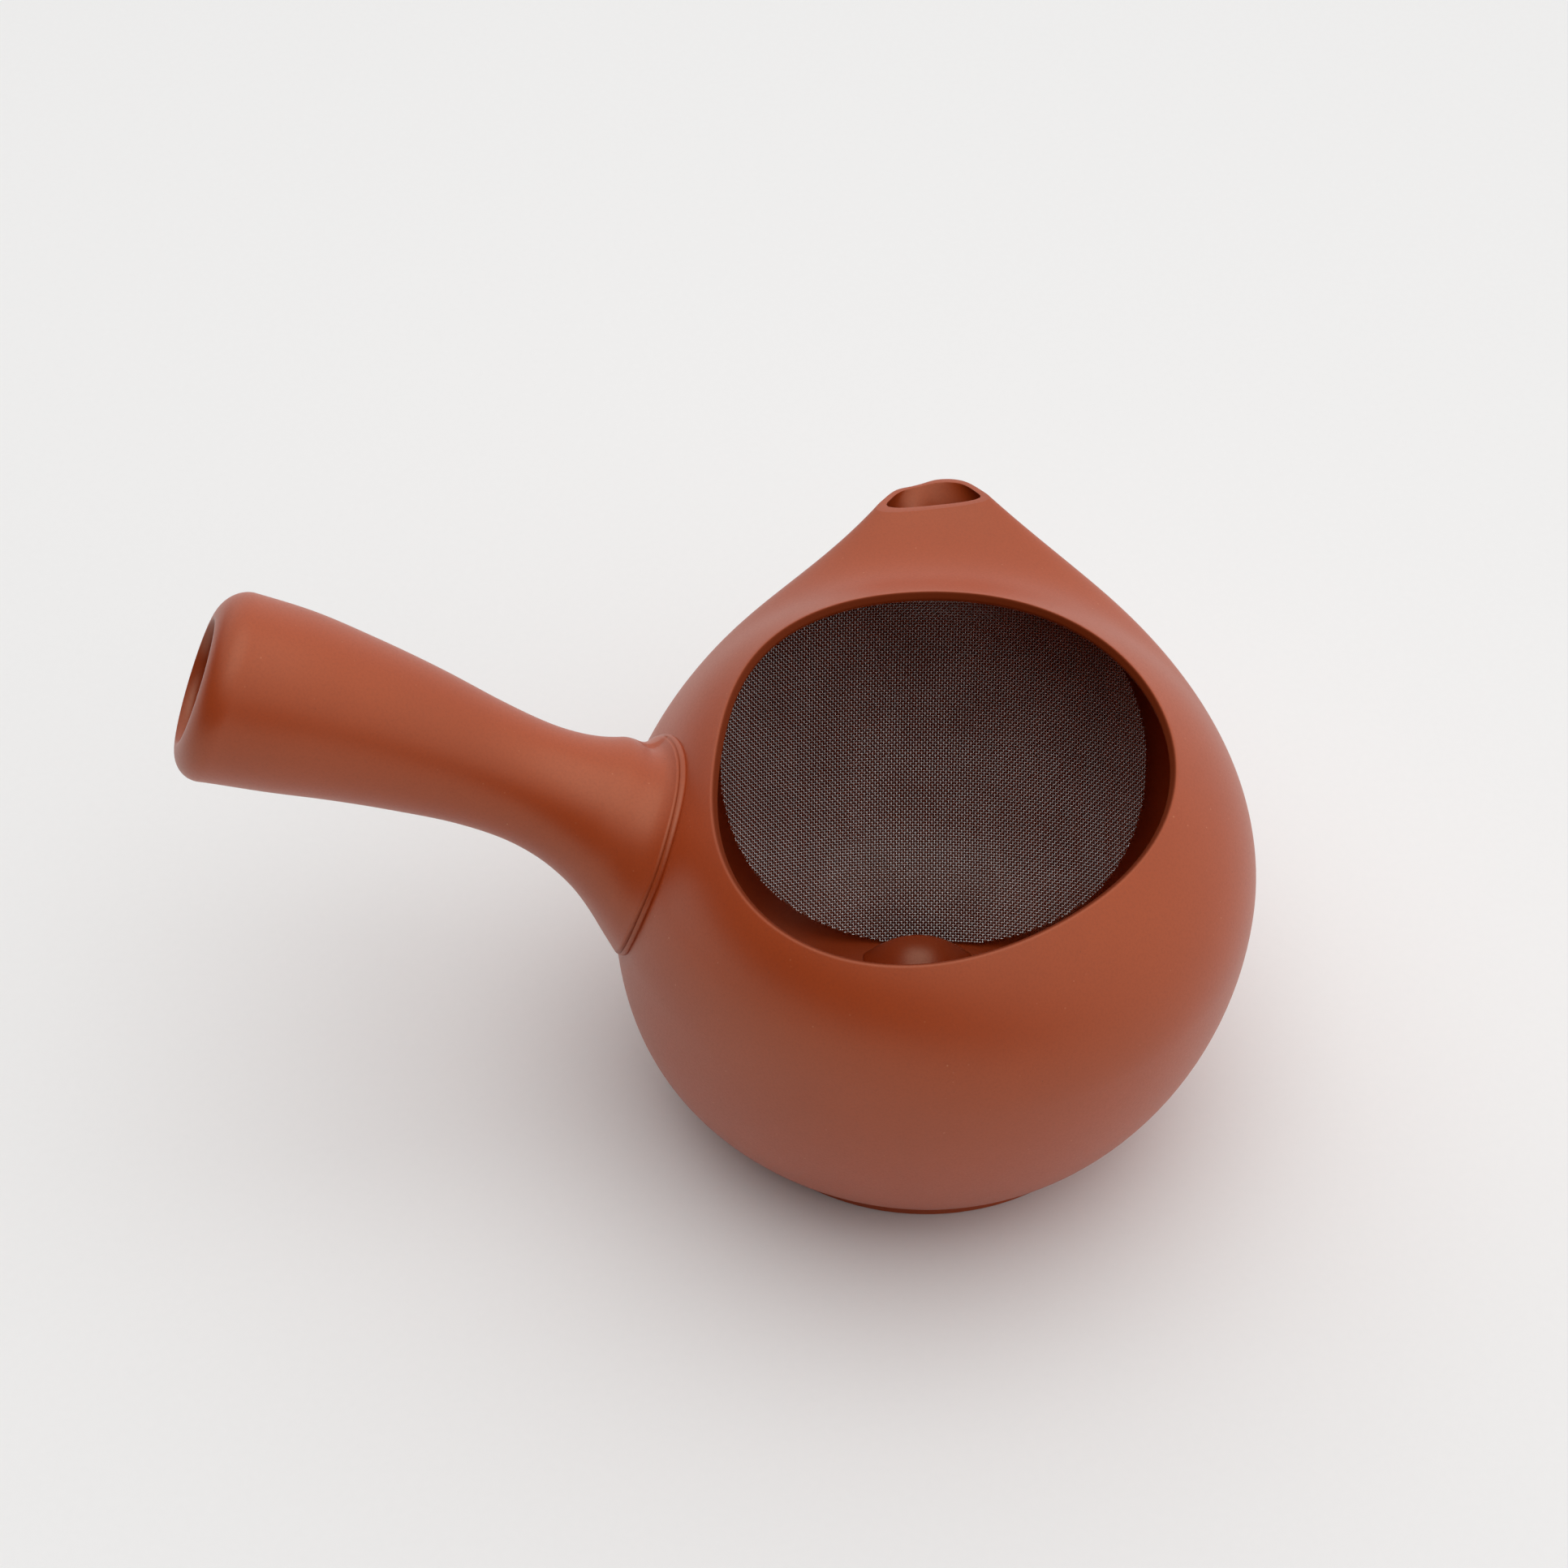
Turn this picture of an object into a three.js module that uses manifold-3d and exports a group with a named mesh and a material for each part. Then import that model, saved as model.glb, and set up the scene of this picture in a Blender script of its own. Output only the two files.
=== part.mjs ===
import * as THREE from 'three';
import { ParametricGeometry } from 'three/addons/geometries/ParametricGeometry.js';
import { mergeVertices } from 'three/addons/utils/BufferGeometryUtils.js';
import Module from 'manifold-3d';

// A small unglazed teapot with a side handle and no lid.
// Millimetres, +Z up, the spout towards +Y, the handle towards -X.
// The origin is the middle of the foot, on the surface that the pot stands on.

// Thrown bowl: a ball with a wider upper curve and a narrower foot.
const belly = { radius: 53, height: 44.8, crown: 39.5, crownPower: 2.07, base: 59.2, basePower: 1.96 };
const foot = { radius: 36, height: 1.5 };
const wall = { floor: 4.5, floorRadius: 24, belly: 3, rim: 1.6, floorPower: 2.1 };

// The handle's weight has pressed its side of the bowl in above and out below.
const settle = { depth: 1.6, low: 12, high: 44, top: 60, footFade: 10 };

// The mouth is cut by a plane that falls towards the front; its outline is nearly round.
const mouth = { height: 73.5, slope: 0.1, lipRise: 0.3 };
const mouthOutline = { mean: 37.06, cos: [0.51, -0.81, 1.42], sin: [-5.24, 1.05, 0.39] };

// The spout is drawn out of the wall along a rising axis, a little to the right of straight ahead.
// Its section is a rounded oblong: left, right, above and below are how fast the pull fades.
const spout = {
  rise: THREE.MathUtils.degToRad(22.8),
  turn: THREE.MathUtils.degToRad(1.4),
  fullness: 3.5,
  fade: 1.1,
  fadeDepth: 42.9,
};
const spoutOutside = { reach: 28.5, left: 15.8, right: 22.4, above: 3.5, below: 12.6 };
const spoutInside = { reach: 30.5, left: 15.2, right: 21.8, above: 3, below: 10.4 };
const spoutCrease = { side: -1, halfWidth: 2.9, up: -2.3, halfHeight: 4.2, depth: 6.4 };
const spoutCut = { upperLip: [2.45, 64.4], lowerLip: [-3.1, 72.8], lean: 0.108, size: 60 };

// Thrown hollow handle: a tube with a round lip, a slim neck and a flared, slightly oval root.
const handle = {
  lipRadius: 4.8,
  holeRadius: 10,
  holeEdge: 0.6,
  wall: 2.8,
  oval: 0.105,
  ovalTurn: THREE.MathUtils.degToRad(11.6),
  ovalFrom: 55,
  ovalTo: 75,
};
const handleAxis = new THREE.CubicBezierCurve3(
  new THREE.Vector3(-114.3, 1.3, 85.2),
  new THREE.Vector3(-76.1, 6.4, 70),
  new THREE.Vector3(-54.7, -2.1, 58.7),
  new THREE.Vector3(-41, -1.7, 54.5),
);
const handleOutline = [[4.8, 15.3], [15, 14.6], [25, 13.3], [36, 11.8], [46, 10.4], [54, 9.9], [60, 10.4],
  [65, 11.7], [69, 13.6], [73, 16.6], [77, 21], [79.8, 27]];

// The handle stands on a circle on the bowl, seen from the middle of the belly.
const joint = {
  rise: THREE.MathUtils.degToRad(11.2),
  turn: THREE.MathUtils.degToRad(2.9),
  radius: 18.6,
  farthestRoot: 77,
};

// Slip clay bead between the handle and the bowl, and the gap that keeps the pieces apart.
const bead = { height: 1.2, proud: 0.9, inside: 2.4 };
const gap = 0.3;

// Clay stop on the floor, steep behind and long in front.
const stop = { middle: 17.4, height: 5.4, back: 2.9, side: 9.5, front: 9 };

// Sheet of woven wire, bent round an upright axis and standing behind the stop.
// Its outline is an oval about a middle that lies a little above half of its height.
const strainer = {
  thickness: 0.4,
  bendRadius: 56,
  halfWidth: 41,
  lean: THREE.MathUtils.degToRad(28),
  middle: 0.52,
  halfHeight: 0.56,
};
const strainerMiddle = [[20.9, 5.1], [27.6, 14], [34, 21.5], [42, 35], [48.2, 50], [52, 61.5]];

// Rows and columns of the surfaces; the crowding packs them closer round the spout.
const bowlGrid = { around: 84, foot: 3, lower: 8, upper: 20, lip: 3, innerUpper: 16, innerLower: 8 };
const crowding = { turn: 0.72, row: 0.72, at: 0.5, spread: 2 };
const hollowGrid = { around: 72, rows: 20 };
const handleGrid = { around: 36, lip: 5, outer: 18, inner: 12 };
const stopGrid = { around: 24, rings: 7 };
const strainerGrid = { columns: 18, rows: 18 };

// Points this close are one point; slopes are measured over the step; searches halve this often.
const mergeDistance = 1e-4;
const slopeStep = 0.01;
const halvings = 24;

const wasm = await Module();
wasm.setup();

const clay = { color: 0xb4553a, roughness: 0.5, metalness: 0 };
const steel = { color: 0x8d8a88, roughness: 0.35, metalness: 1 };
const group = new THREE.Group();
const { clamp, lerp, smoothstep } = THREE.MathUtils;

// A closed surface as a solid: shared points merged, flat triangles dropped, faces outwards.
function solidOf(geometry) {
  geometry.deleteAttribute('normal');
  geometry.deleteAttribute('uv');
  const merged = mergeVertices(geometry, mergeDistance);
  const points = merged.attributes.position.array;
  const corners = merged.index.array;
  const kept = [];
  let volume = 0;
  const a = new THREE.Vector3();
  const b = new THREE.Vector3();
  const c = new THREE.Vector3();
  for (let i = 0; i < corners.length; i += 3) {
    const [p, q, r] = corners.slice(i, i + 3);
    if (p !== q && q !== r && r !== p) {
      kept.push([p, q, r]);
      a.fromArray(points, 3 * p);
      b.fromArray(points, 3 * q);
      c.fromArray(points, 3 * r);
      volume += a.dot(b.cross(c));
    }
  }
  const faces = kept.flatMap(([p, q, r]) => (volume < 0 ? [p, r, q] : [p, q, r]));
  const mesh = new wasm.Mesh({ numProp: 3, vertProperties: points, triVerts: new Uint32Array(faces) });
  return new wasm.Manifold(mesh);
}

function addPiece(name, solid, look) {
  const mesh = solid.getMesh();
  const geometry = new THREE.BufferGeometry();
  geometry.setAttribute('position', new THREE.Float32BufferAttribute(mesh.vertProperties, 3));
  geometry.setIndex(new THREE.Uint32BufferAttribute(mesh.triVerts, 1));
  geometry.computeVertexNormals();
  const piece = new THREE.Mesh(geometry, new THREE.MeshStandardMaterial(look));
  piece.name = name;
  group.add(piece);
}

// The value between low and high at which a falling test turns false.
function turningPoint(low, high, test) {
  for (let i = 0; i < halvings; i += 1) {
    const middle = (low + high) / 2;
    if (test(middle)) {
      low = middle;
    } else {
      high = middle;
    }
  }
  return low;
}

// Radius of the thrown ball at a height, before the mouth, the handle and the spout shape it.
function ballRadius(height) {
  const above = height > belly.height;
  const reach = above ? belly.crown : belly.base;
  const power = above ? belly.crownPower : belly.basePower;
  const part = Math.min(Math.abs(height - belly.height) / reach, 1);
  return belly.radius * (1 - part ** power) ** (1 / power);
}

function mouthRadius(angle) {
  let radius = mouthOutline.mean;
  for (let k = 0; k < mouthOutline.cos.length; k += 1) {
    const turn = (k + 1) * angle;
    radius += mouthOutline.cos[k] * Math.cos(turn) + mouthOutline.sin[k] * Math.sin(turn);
  }
  return radius;
}

function mouthHeight(angle) {
  return mouth.height + mouth.slope * mouthRadius(angle) * Math.sin(angle);
}

// Radius of the outer wall: the ball, led into the mouth's outline and settled under the handle.
function wallRadius(angle, height) {
  const rimHeight = mouthHeight(angle);
  const shaping = height > belly.height ? smoothstep(height, belly.height, rimHeight) : 0;
  const towardsHandle = Math.max(-Math.cos(angle), 0) ** 2;
  const inOrOut = 1 - 2 * smoothstep(height, settle.low, settle.high);
  const fading = (1 - smoothstep(height, settle.top, rimHeight)) * smoothstep(height, 0, settle.footFade);
  return ballRadius(height) + shaping * (mouthRadius(angle) - ballRadius(rimHeight))
    + settle.depth * towardsHandle * inOrOut * fading;
}

// Outer wall from the foot's edge (part 0) over the belly (part 1) to the mouth (part 2).
function outerWall(part, angle, target) {
  const steepest = Math.asin((mouthHeight(angle) - belly.height) / belly.crown);
  const lowest = Math.asin((belly.height - foot.height) / belly.base);
  const height = part > 1
    ? belly.height + belly.crown * Math.sin(steepest * (part - 1))
    : belly.height - belly.base * Math.sin(lowest * (1 - part));
  const radius = wallRadius(angle, height);
  target.set(radius * Math.cos(angle), radius * Math.sin(angle), height);
}

// A point below the outer wall's surface, straight in from it by a depth; part is 1 to 2.
function underWall(part, angle, depth, target) {
  outerWall(part - slopeStep, angle, target);
  const lowerRadius = Math.hypot(target.x, target.y);
  const lowerHeight = target.z;
  outerWall(part, angle, target);
  const radius = Math.hypot(target.x, target.y);
  const length = Math.hypot(radius - lowerRadius, target.z - lowerHeight);
  const inwards = depth * (target.z - lowerHeight) / length;
  const height = target.z + depth * (radius - lowerRadius) / length;
  target.set((radius - inwards) * Math.cos(angle), (radius - inwards) * Math.sin(angle), height);
}

// Inner wall from the mouth (part 0) past the belly (part 1) to the floor's edge (part 2).
function innerWall(part, angle, target) {
  if (part < 1) {
    underWall(2 - part, angle, lerp(wall.rim, wall.belly, Math.sqrt(part)), target);
    return;
  }
  const turn = (part - 1) * Math.PI / 2;
  const spread = wallRadius(angle, belly.height) - wall.belly - wall.floorRadius;
  const power = wall.floorPower;
  const radius = wall.floorRadius + spread * (1 - Math.sin(turn) ** power) ** (1 / power);
  const height = belly.height - (belly.height - wall.floor) * Math.sin(turn);
  target.set(radius * Math.cos(angle), radius * Math.sin(angle), height);
}

// The rim is cut square to the wall, with a slightly crowned face.
function rimLip(part, angle, target) {
  underWall(2, angle, wall.rim * part, target);
  const crown = mouth.lipRise * Math.sin(Math.PI * part);
  const radius = Math.hypot(target.x, target.y);
  target.x *= (radius - crown) / radius;
  target.y *= (radius - crown) / radius;
  target.z += crown;
}

// Moves a point of the bowl outwards along the spout's axis, as the potter draws the clay.
function drawSpout(point, form) {
  const ahead = point.x * Math.sin(spout.turn) + point.y * Math.cos(spout.turn);
  const aside = point.x * Math.cos(spout.turn) - point.y * Math.sin(spout.turn);
  const height = point.z - belly.height;
  const along = ahead * Math.cos(spout.rise) + height * Math.sin(spout.rise);
  const up = height * Math.cos(spout.rise) - ahead * Math.sin(spout.rise);
  const across = Math.abs(aside) / (aside > 0 ? form.right : form.left);
  const over = Math.abs(up) / (up > 0 ? form.above : form.below);
  const away = (across ** spout.fullness + over ** spout.fullness) ** (1 / spout.fullness);
  const crease = Math.exp(-(((aside - spoutCrease.side) / spoutCrease.halfWidth) ** 2))
    * Math.exp(-(((up - spoutCrease.up) / spoutCrease.halfHeight) ** 2));
  const pull = form.reach * Math.exp(-(away ** spout.fade)) - spoutCrease.depth * crease;
  const drawn = pull * smoothstep(along, 0, spout.fadeDepth);
  point.x += drawn * Math.sin(spout.turn) * Math.cos(spout.rise);
  point.y += drawn * Math.cos(spout.turn) * Math.cos(spout.rise);
  point.z += drawn * Math.sin(spout.rise);
}

// Turns and rows closer together round the spout and wider apart at the front.
function turnAt(part) {
  const turn = 2 * Math.PI * part;
  return turn + Math.PI / 2 - crowding.turn * Math.sin(turn);
}

function upperPart(part, angle) {
  const near = ((1 + Math.sin(angle)) / 2) ** crowding.spread;
  const wave = Math.sin(2 * Math.PI * (part - crowding.at)) + Math.sin(2 * Math.PI * crowding.at);
  return part - crowding.row * near * wave / (2 * Math.PI);
}

const bowlRows = Object.values(bowlGrid).reduce((sum, count) => sum + count) - bowlGrid.around + 1;

// The whole bowl as one closed surface, from the foot's middle out, over the lip and in again.
function bowlSurface(u, v, target) {
  const { lower, upper, lip, innerUpper, innerLower } = bowlGrid;
  const angle = turnAt(u);
  const row = Math.round(v * bowlRows) - bowlGrid.foot;
  const innerRow = row - lower - upper - lip;
  if (row < 0) {
    const radius = row === -bowlGrid.foot ? 0 : foot.radius;
    target.set(radius * Math.cos(angle), radius * Math.sin(angle), row === -1 ? foot.height : 0);
  } else if (innerRow > innerUpper + innerLower) {
    target.set(0, 0, wall.floor);
  } else if (innerRow >= 0) {
    const part = innerRow / innerUpper;
    const below = 1 + (innerRow - innerUpper) / innerLower;
    innerWall(part < 1 ? 1 - upperPart(1 - part, angle) : below, angle, target);
    drawSpout(target, spoutInside);
  } else if (row > lower + upper) {
    rimLip((row - lower - upper) / lip, angle, target);
    drawSpout(target, spoutOutside);
  } else {
    outerWall(row <= lower ? row / lower : 1 + upperPart((row - lower) / upper, angle), angle, target);
    drawSpout(target, spoutOutside);
  }
}

// The hollow of the bowl, shrunk by a margin, with a tall neck over the mouth.
function hollowSolid(margin) {
  const { rows } = hollowGrid;
  const surface = new ParametricGeometry((u, v, target) => {
    const row = Math.round(v * rows);
    const angle = 2 * Math.PI * u;
    if (row === 0 || row === rows) {
      target.set(0, 0, row === 0 ? 2 * mouth.height : wall.floor + margin);
      return;
    }
    innerWall(2 * (row - 1) / (rows - 2), angle, target);
    drawSpout(target, spoutInside);
    const radius = Math.hypot(target.x, target.y);
    target.x *= (radius - margin) / radius;
    target.y *= (radius - margin) / radius;
    target.z = Math.max(target.z, wall.floor + margin);
  }, hollowGrid.around, rows);
  return solidOf(surface);
}

// Takes the closed end off the spout along the line from the upper to the lower lip.
function spoutCutter() {
  const [upperUp, upperAlong] = spoutCut.upperLip;
  const [lowerUp, lowerAlong] = spoutCut.lowerLip;
  const up = (upperUp + lowerUp) / 2;
  const along = (upperAlong + lowerAlong) / 2;
  const box = new THREE.BoxGeometry(spoutCut.size, spoutCut.size, spoutCut.size);
  box.translate(0, 0, spoutCut.size / 2);
  box.rotateY(-spoutCut.lean);
  box.rotateX(Math.atan2(lowerUp - upperUp, lowerAlong - upperAlong));
  box.translate(0, along, up);
  box.rotateX(spout.rise);
  box.rotateZ(-spout.turn);
  box.translate(0, 0, belly.height);
  return solidOf(box);
}

function makeBowl() {
  const closed = solidOf(new ParametricGeometry(bowlSurface, bowlGrid.around, bowlRows));
  return closed.subtract(spoutCutter());
}

const handleCurve = new THREE.SplineCurve(handleOutline.map(([along, radius]) => (
  new THREE.Vector2(along, radius)
)));
const handleLength = handleAxis.getLength();
const seat = bead.height + 2 * gap;

function handleRadius(along) {
  return handleCurve.getPoint(turningPoint(0, 1, (part) => handleCurve.getPoint(part).x < along)).y;
}

// A point of the handle: along its axis from the lip, out by a radius, at an angle round it.
function handlePoint(along, radius, angle, target) {
  const middle = handleAxis.getPointAt(along / handleLength);
  const ahead = handleAxis.getTangentAt(along / handleLength);
  const side = new THREE.Vector3(0, 1, 0).addScaledVector(ahead, -ahead.y).normalize();
  const up = new THREE.Vector3().crossVectors(ahead, side);
  const flare = clamp((along - handle.ovalFrom) / (handle.ovalTo - handle.ovalFrom), 0, 1) ** 2;
  const ovalRadius = radius * (1 + handle.oval * flare * Math.cos(2 * (angle - handle.ovalTurn)));
  target.copy(middle);
  target.addScaledVector(side, ovalRadius * Math.cos(angle));
  target.addScaledVector(up, ovalRadius * Math.sin(angle));
}

// Distance of a point from the bowl's outer wall, measured square to the wall.
function awayFromWall(point) {
  const turn = Math.atan2(point.y, point.x);
  const radius = wallRadius(turn, point.z);
  const slope = (wallRadius(turn, point.z + slopeStep) - radius) / slopeStep;
  return (Math.hypot(point.x, point.y) - radius) / Math.hypot(1, slope);
}

// Where a ring of some radius round the joint's middle stands off the bowl by a clearance.
function jointPoint(radius, angle, clearance, target) {
  const spread = Math.asin(radius / belly.radius);
  const ahead = new THREE.Vector3(Math.cos(joint.rise) * Math.cos(joint.turn),
    Math.cos(joint.rise) * Math.sin(joint.turn), -Math.sin(joint.rise));
  const side = new THREE.Vector3(0, 1, 0).addScaledVector(ahead, -ahead.y).normalize();
  const up = new THREE.Vector3().crossVectors(ahead, side);
  const out = side.multiplyScalar(Math.cos(angle)).addScaledVector(up, Math.sin(angle));
  out.multiplyScalar(Math.sin(spread)).addScaledVector(ahead, -Math.cos(spread));
  const reach = turningPoint(0, 2 * belly.radius, (distance) => {
    target.copy(out).multiplyScalar(distance);
    target.z += belly.height;
    return awayFromWall(target) < clearance;
  });
  target.copy(out).multiplyScalar(reach);
  target.z += belly.height;
}

// How far along the handle its wall, or its bore inside that, comes down to the bowl.
function alongAtBowl(angle, inset) {
  const point = new THREE.Vector3();
  return turningPoint(handle.ovalFrom, joint.farthestRoot, (along) => {
    handlePoint(along, handleRadius(along) - inset, angle, point);
    return awayFromWall(point) > seat;
  });
}

// A point of the handle's wall or bore; the flare is led onto the joint's circle at the root.
function handleWall(along, root, inset, radius, angle, target) {
  const rootPoint = new THREE.Vector3();
  const shift = new THREE.Vector3();
  handlePoint(root, handleRadius(root) - inset, angle, rootPoint);
  jointPoint(joint.radius - inset, angle, seat, shift);
  shift.sub(rootPoint);
  handlePoint(along, radius, angle, target);
  target.addScaledVector(shift, smoothstep(along, handle.ovalFrom, root));
}

// The handle from its root over the lip and down the bore; the root stands on the bead.
function makeHandle() {
  const { lip, outer, inner } = handleGrid;
  const rows = outer + lip + inner;
  const surface = new ParametricGeometry((u, v, target) => {
    const row = Math.round(v * rows) % rows;
    const angle = 2 * Math.PI * u;
    if (row < outer) {
      const root = alongAtBowl(angle, 0);
      const along = lerp(root, handle.lipRadius, row / outer);
      handleWall(along, root, 0, handleRadius(along), angle, target);
    } else if (row < outer + lip) {
      const turn = ((row - outer) / lip) * Math.PI / 2;
      const along = handle.lipRadius * (1 - Math.sin(turn));
      const radius = lerp(handle.holeRadius, handleOutline[0][1], Math.cos(turn));
      handlePoint(along, radius, angle, target);
    } else {
      const root = alongAtBowl(angle, handle.wall);
      const along = lerp(handle.holeEdge, root, (row - outer - lip) / (inner - 1));
      const bore = handleRadius(Math.max(along, handle.lipRadius)) - handle.wall;
      const radius = along < handle.ovalFrom ? Math.min(bore, handle.holeRadius) : bore;
      handleWall(along, root, handle.wall, radius, angle, target);
    }
  }, handleGrid.around, rows);
  return solidOf(surface);
}

// A ring round the handle's root, flat on the bowl and rounded on its outer side.
function makeBead() {
  const low = gap;
  const high = gap + bead.height;
  const section = [[-bead.inside, low], [bead.proud, low], [bead.proud, lerp(low, high, 1 / 2)],
    [bead.proud / 2, high], [-bead.inside, high]];
  const surface = new ParametricGeometry((u, v, target) => {
    const [beyond, clearance] = section[Math.round(v * section.length) % section.length];
    jointPoint(joint.radius + beyond, 2 * Math.PI * u, clearance, target);
  }, 2 * handleGrid.around, section.length);
  return solidOf(surface);
}

function makeStop() {
  const { rings } = stopGrid;
  const surface = new ParametricGeometry((u, v, target) => {
    const row = Math.round(v * (rings + 1));
    const angle = 2 * Math.PI * u;
    const spread = Math.min(row / rings, 1);
    const depth = Math.sin(angle) > 0 ? stop.back : stop.front;
    const height = row > rings ? 0 : stop.height * (1 + Math.cos(Math.PI * spread)) / 2;
    const out = row > rings ? 0 : spread;
    target.set(
      stop.side * out * Math.cos(angle),
      stop.middle + depth * out * Math.sin(angle),
      wall.floor + gap + height,
    );
  }, stopGrid.around, rings + 1);
  return solidOf(surface);
}

const strainerCurve = new THREE.SplineCurve(strainerMiddle.map(([y, z]) => new THREE.Vector2(y, z)));

// A point of the sheet: across is the arc from its middle line, part runs from foot to top.
function strainerPoint(across, part, lift, target) {
  const turn = across / strainer.bendRadius;
  const middle = strainerCurve.getPointAt(part);
  const sag = strainer.bendRadius - (strainer.bendRadius - lift) * Math.cos(turn);
  target.set(
    (strainer.bendRadius - lift) * Math.sin(turn),
    middle.x - sag * Math.cos(strainer.lean),
    middle.y + sag * Math.sin(strainer.lean),
  );
}

function strainerHalfWidth(part) {
  const fromMiddle = (part - strainer.middle) / strainer.halfHeight;
  return strainer.halfWidth * Math.sqrt(Math.max(1 - fromMiddle ** 2, 0));
}

function makeStrainer() {
  const { columns, rows } = strainerGrid;
  const rounds = 2 * columns + 2;
  const surface = new ParametricGeometry((u, v, target) => {
    const step = Math.round(u * rounds) % rounds;
    const front = step <= columns;
    const side = front ? step / columns : (rounds - 1 - step) / columns;
    const row = Math.round(v * (rows + 2));
    const part = clamp((row - 1) / rows, 0, 1);
    const closed = row === 0 || row === rows + 2;
    const across = strainerHalfWidth(part) * (2 * side - 1);
    const lift = closed ? 0 : strainer.thickness / 2;
    strainerPoint(across, part, front ? lift : -lift, target);
  }, rounds, rows + 2);
  return solidOf(surface).intersect(hollowSolid(gap));
}

addPiece('teapot_body', makeBowl(), clay);
addPiece('side_handle', makeHandle(), clay);
addPiece('handle_luting_bead', makeBead(), clay);
addPiece('strainer_stop', makeStop(), clay);
addPiece('strainer_sheet', makeStrainer(), steel);

export default group;
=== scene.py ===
import math

import bmesh
import bpy
import numpy as np
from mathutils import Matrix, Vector


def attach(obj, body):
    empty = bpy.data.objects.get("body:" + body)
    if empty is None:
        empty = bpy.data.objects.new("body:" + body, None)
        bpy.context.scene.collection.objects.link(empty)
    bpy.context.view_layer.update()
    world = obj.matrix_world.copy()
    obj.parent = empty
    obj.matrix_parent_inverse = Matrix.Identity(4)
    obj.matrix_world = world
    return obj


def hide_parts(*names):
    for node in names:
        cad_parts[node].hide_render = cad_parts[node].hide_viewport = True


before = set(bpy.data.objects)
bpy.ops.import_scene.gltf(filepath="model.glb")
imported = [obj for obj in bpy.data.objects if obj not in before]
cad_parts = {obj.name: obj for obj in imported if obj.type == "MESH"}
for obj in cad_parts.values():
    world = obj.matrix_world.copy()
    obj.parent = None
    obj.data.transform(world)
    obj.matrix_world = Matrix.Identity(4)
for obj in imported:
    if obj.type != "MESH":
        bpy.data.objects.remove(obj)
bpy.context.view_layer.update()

scene = bpy.context.scene
mm = 0.001
degree = math.pi / 180
smallStep = 0.01    # for slopes taken between two near points of a wall


# Camera: it looks down on the pot from the front, with the spout pointing away
cameraSettings = {
    "place": (-0.023373, -0.367222, 0.425034),
    "elevation": 44.5,
    "focalPixels": 4000,
    "framePixels": 1932,
    "sensor": 36,
    "nearest": 0.01,
    "farthest": 20,
}


def placeCamera():
    settings = cameraSettings
    data = bpy.data.cameras.new("photoCamera")
    data.sensor_fit = "HORIZONTAL"
    data.sensor_width = settings["sensor"]
    data.lens = settings["sensor"] * settings["focalPixels"] / settings["framePixels"]
    data.clip_start = settings["nearest"]
    data.clip_end = settings["farthest"]
    camera = bpy.data.objects.new("photoCamera", data)
    camera.location = settings["place"]
    camera.rotation_euler = ((90 - settings["elevation"]) * degree, 0, 0)
    scene.collection.objects.link(camera)
    scene.camera = camera


placeCamera()
scene.view_settings.view_transform = "Standard"
print("camera placed")


# Small helpers for meshes

def smoothStep(value, low, high):
    part = np.clip((value - low) / (high - low), 0, 1)
    return part * part * (3 - 2 * part)


def turningPoint(low, high, test, halvings=26):
    # the value at which a test, true at low, turns false, for every entry of an array
    for step in range(halvings):
        middle = (low + high) / 2
        passed = test(middle)
        low = np.where(passed, middle, low)
        high = np.where(passed, high, middle)
    return low


def meshFrom(name, points, faces):
    mesh = bpy.data.meshes.new(name)
    mesh.from_pydata((np.asarray(points) * mm).tolist(), [], faces)
    mesh.update()
    piece = bpy.data.objects.new(name, mesh)
    scene.collection.objects.link(piece)
    return piece


def shadeSmooth(piece):
    for face in piece.data.polygons:
        face.use_smooth = True


def ringFaces(rows, columns, closedRows=False):
    # quads of a grid whose columns run round; closedRows joins the last row to the first
    faces = []
    for row in range(rows if closedRows else rows - 1):
        for column in range(columns):
            nextRow = (row + 1) % rows
            nextColumn = (column + 1) % columns
            faces.append((row * columns + column, row * columns + nextColumn,
                          nextRow * columns + nextColumn, nextRow * columns + column))
    return faces


def closedSkin(name, grid, firstPole, lastPole):
    # a grid of rings closed by a point at each end
    rows, columns = grid.shape[:2]
    points = grid.reshape(-1, 3).tolist() + [firstPole, lastPole]
    faces = ringFaces(rows, columns)
    first, last = rows * columns, rows * columns + 1
    start = (rows - 1) * columns
    for column in range(columns):
        nextColumn = (column + 1) % columns
        faces.append((first, nextColumn, column))
        faces.append((last, start + column, start + nextColumn))
    return meshFrom(name, points, faces)


def facesOut(piece):
    made = bmesh.new()
    made.from_mesh(piece.data)
    bmesh.ops.recalc_face_normals(made, faces=made.faces)
    made.to_mesh(piece.data)
    made.free()


def dress(piece, material, body, slotName, *nodes):
    piece.data.materials.clear()
    piece.data.materials.append(material)
    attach(piece, body)
    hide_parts(*nodes)


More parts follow.
